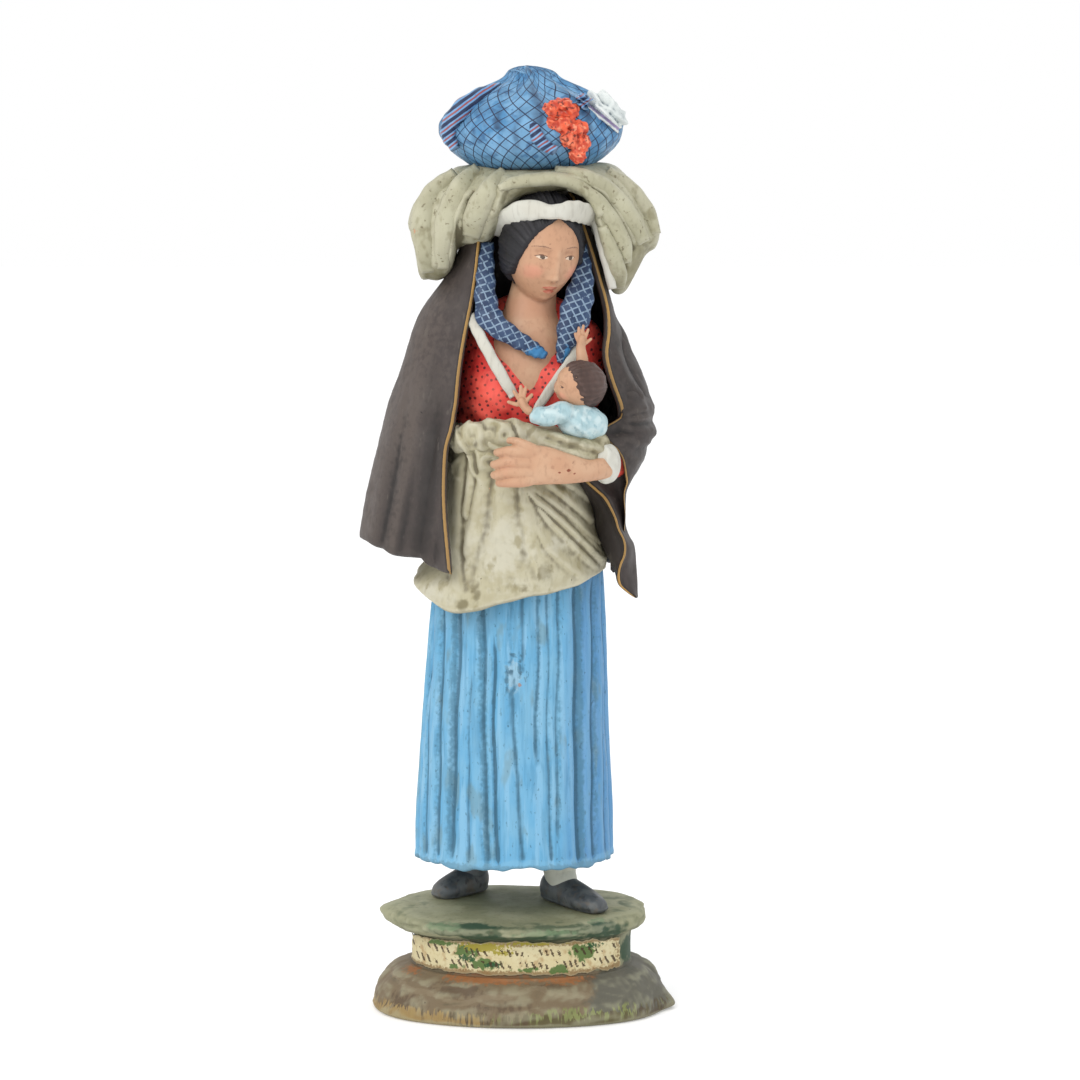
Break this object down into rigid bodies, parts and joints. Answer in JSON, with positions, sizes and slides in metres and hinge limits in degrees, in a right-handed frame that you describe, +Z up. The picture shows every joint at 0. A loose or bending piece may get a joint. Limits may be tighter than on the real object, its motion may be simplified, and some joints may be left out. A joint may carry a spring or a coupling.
{
  "type": "painted terracotta figurine",
  "caption": "Painted terracotta figurine of a standing woman in a cloak who nurses a child and carries a bundle on her head, on a rocky base.",
  "frame": {"origin": "middle of the flat underside of the base", "axes": "+Z up, the figure faces -Y, +X towards the viewer's right"},
  "size_m": [0.0975, 0.0785, 0.2941],
  "materials": {
    "painted_terracotta": "cold-painted fired clay, matt to dull satin, in many colours",
    "painted_ground": "cold-painted fired clay, matt, in earth and moss colours",
    "old_paper": "aged torn paper, matt"
  },
  "bodies": {
    "root": {"figure": "painted_terracotta", "ground_base": "painted_ground", "paper_label": "old_paper"}
  },
  "joints": []
}
